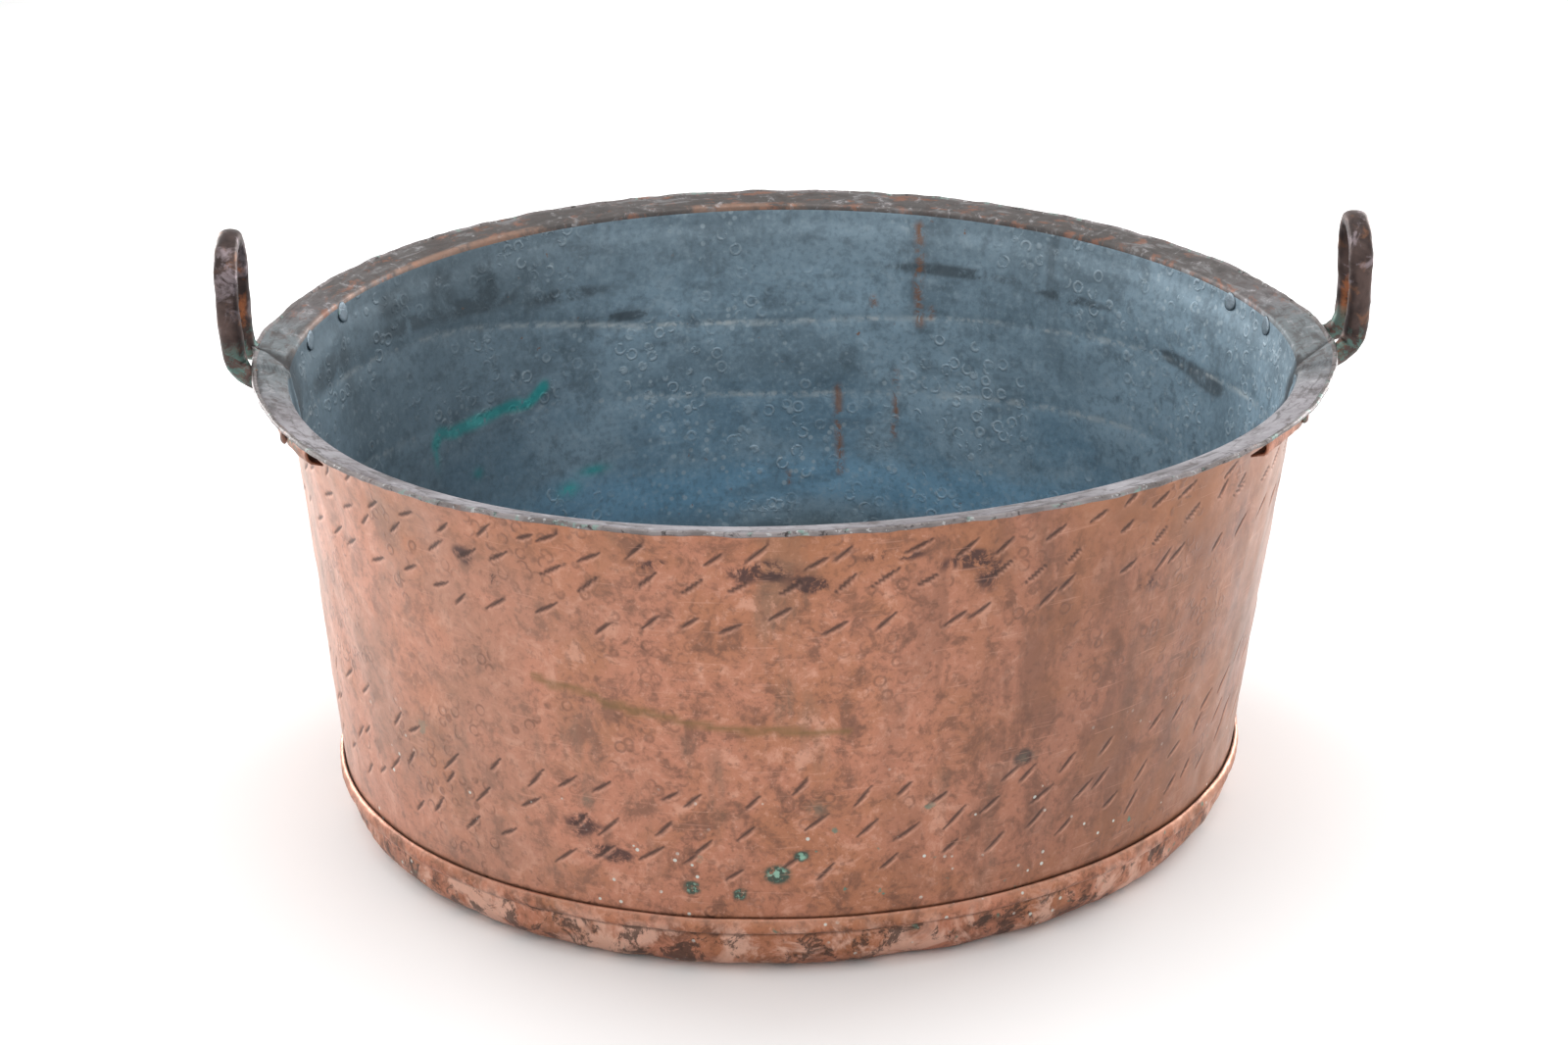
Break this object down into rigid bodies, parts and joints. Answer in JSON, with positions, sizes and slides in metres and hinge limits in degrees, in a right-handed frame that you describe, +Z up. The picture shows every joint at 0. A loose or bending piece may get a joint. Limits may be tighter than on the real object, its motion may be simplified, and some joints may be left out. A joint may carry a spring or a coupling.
{
  "type": "copper vat",
  "caption": "Large round open vat of hammered copper sheet, tinned inside, with a flat turned-out rim and upright riveted carrying ears.",
  "frame": {"origin": "on the ground at the centre of the flat base, which is the bottom centre of the bounding box", "axes": "+Z up out of the mouth; the two ears stand on the X axis; the front sheet of the wall faces -Y"},
  "size_m": [0.848, 0.8002, 0.443],
  "materials": {
    "hammered_copper": "aged hammered copper outside, dull blue-grey tinning inside and on the rim",
    "base_copper": "aged hammered copper, stained, with verdigris specks, tinned inside",
    "forged_copper": "dark brown forged copper with worn lavender-grey facets",
    "strap_copper": "aged copper strip",
    "rivet_copper": "dark peened copper rivet"
  },
  "bodies": {
    "root": {"wall_sheet_front": "hammered_copper", "wall_sheet_rear": "hammered_copper", "base_pan": "base_copper", "ear_left": "forged_copper", "ear_strap_left_front": "strap_copper", "ear_strap_left_rear": "strap_copper", "rivet_left_1": "rivet_copper", "rivet_left_2": "rivet_copper", "rivet_left_3": "rivet_copper", "rivet_left_4": "rivet_copper", "ear_right": "forged_copper", "ear_strap_right_front": "strap_copper", "ear_strap_right_rear": "strap_copper", "rivet_right_1": "rivet_copper", "rivet_right_2": "rivet_copper", "rivet_right_3": "rivet_copper", "rivet_right_4": "rivet_copper"}
  },
  "joints": []
}
